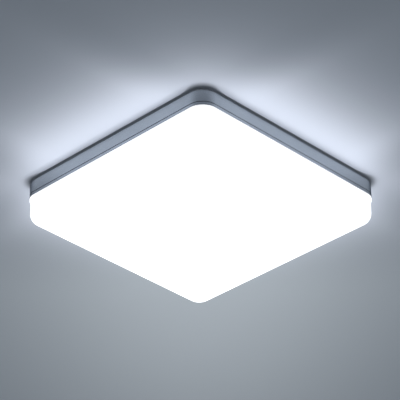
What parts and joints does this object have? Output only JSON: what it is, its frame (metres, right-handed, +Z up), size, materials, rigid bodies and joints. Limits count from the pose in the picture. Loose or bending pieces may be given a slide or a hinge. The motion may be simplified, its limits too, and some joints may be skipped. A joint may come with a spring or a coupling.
{
  "type": "led ceiling light",
  "caption": "Square flush ceiling light with rounded corners: a grey side frame and steel chassis on a ceiling bracket, with a clip-on opal diffuser over an LED board and driver.",
  "frame": {"origin": "centre of the bracket's screw slots, on the ceiling plane", "axes": "+Z up into the ceiling, X along the bracket, Y across it; the light hangs towards -Z"},
  "size_m": [0.3, 0.3, 0.0577],
  "materials": {
    "frame_grey": "moulded ABS with a satin grey finish",
    "white_coat": "sheet steel with a white powder coat",
    "gasket_frame_white": "moulded white ABS",
    "opal_diffuser": "moulded opal acrylic with a fine satin surface",
    "galvanised_steel": "zinc-coated sheet steel, faint spangle",
    "spring_steel": "rolled spring steel strip",
    "rivet_aluminium": "plain set rivet",
    "zinc_screw": "zinc-plated steel",
    "foam": "closed-cell foam",
    "silicone_grey": "extruded silicone",
    "grommet_rubber": "moulded rubber",
    "white_board": "aluminium sheet with white solder mask",
    "led_body": "white moulded package",
    "phosphor": "silicone filled with phosphor",
    "clear_lens": "clear moulded acrylic",
    "connector_white": "white nylon",
    "driver_shell": "white flame-retardant plastic",
    "circuit_board": "glass-fibre laminate with green solder mask",
    "ferrite": "ferrite core with taped winding",
    "capacitor_sleeve": "heat-shrunk sleeve",
    "terminal_body": "light grey nylon",
    "lever_orange": "orange nylon",
    "clamp_white": "white nylon",
    "wire_brown": "brown PVC",
    "wire_blue": "blue PVC",
    "wire_red": "red PVC",
    "wire_black": "black PVC"
  },
  "bodies": {
    "bracket": {"mounting_bracket": "galvanised_steel", "bracket_spring_clips": "spring_steel", "bracket_rivets": "rivet_aluminium"},
    "lamp": {"side_frame": "frame_grey", "chassis_plate": "white_coat", "frame_screws": "zinc_screw", "chassis_standoffs": "zinc_screw", "catch_hooks": "galvanised_steel", "gasket_frame": "gasket_frame_white", "ceiling_gasket": "foam", "rim_gasket": "silicone_grey", "wire_grommet": "grommet_rubber", "terminal_block": "terminal_body", "terminal_screws": "zinc_screw", "cord_clamp": "clamp_white", "cord_clamp_screws": "zinc_screw", "driver_case": "driver_shell", "driver_lid": "driver_shell", "driver_board": "circuit_board", "driver_transformer": "ferrite", "driver_capacitors": "capacitor_sleeve", "driver_screws": "zinc_screw", "live_wire": "wire_brown", "neutral_wire": "wire_blue", "led_plus_wire": "wire_red", "led_minus_wire": "wire_black", "led_board": "white_board", "led_packages": "led_body", "led_phosphor": "phosphor", "led_lenses": "clear_lens", "led_connector": "connector_white", "board_screws": "zinc_screw", "diffuser_clips": "spring_steel", "diffuser_clip_screws": "zinc_screw"},
    "diffuser_body": {"diffuser": "opal_diffuser"},
    "live_lever": {"lever_live": "lever_orange"},
    "neutral_lever": {"lever_neutral": "lever_orange"}
  },
  "joints": [
    {"name": "lamp_drop", "type": "slide", "parent": "bracket", "child": "lamp", "axis": [0, 0, -1], "range_m": [0, 0.06], "deforming": ["bracket_spring_clips"]},
    {"name": "diffuser_pull", "type": "slide", "parent": "lamp", "child": "diffuser_body", "axis": [0, 0, -1], "range_m": [0, 0.08], "deforming": ["diffuser_clips"]},
    {"name": "live_lever_flip", "type": "hinge", "parent": "lamp", "child": "live_lever", "pos_m": [-0.0702, -0.0542, -0.0099], "axis": [1, 0, 0], "range_deg": [0, 85]},
    {"name": "neutral_lever_flip", "type": "hinge", "parent": "lamp", "child": "neutral_lever", "pos_m": [-0.0618, -0.0542, -0.0099], "axis": [1, 0, 0], "range_deg": [0, 85]}
  ]
}
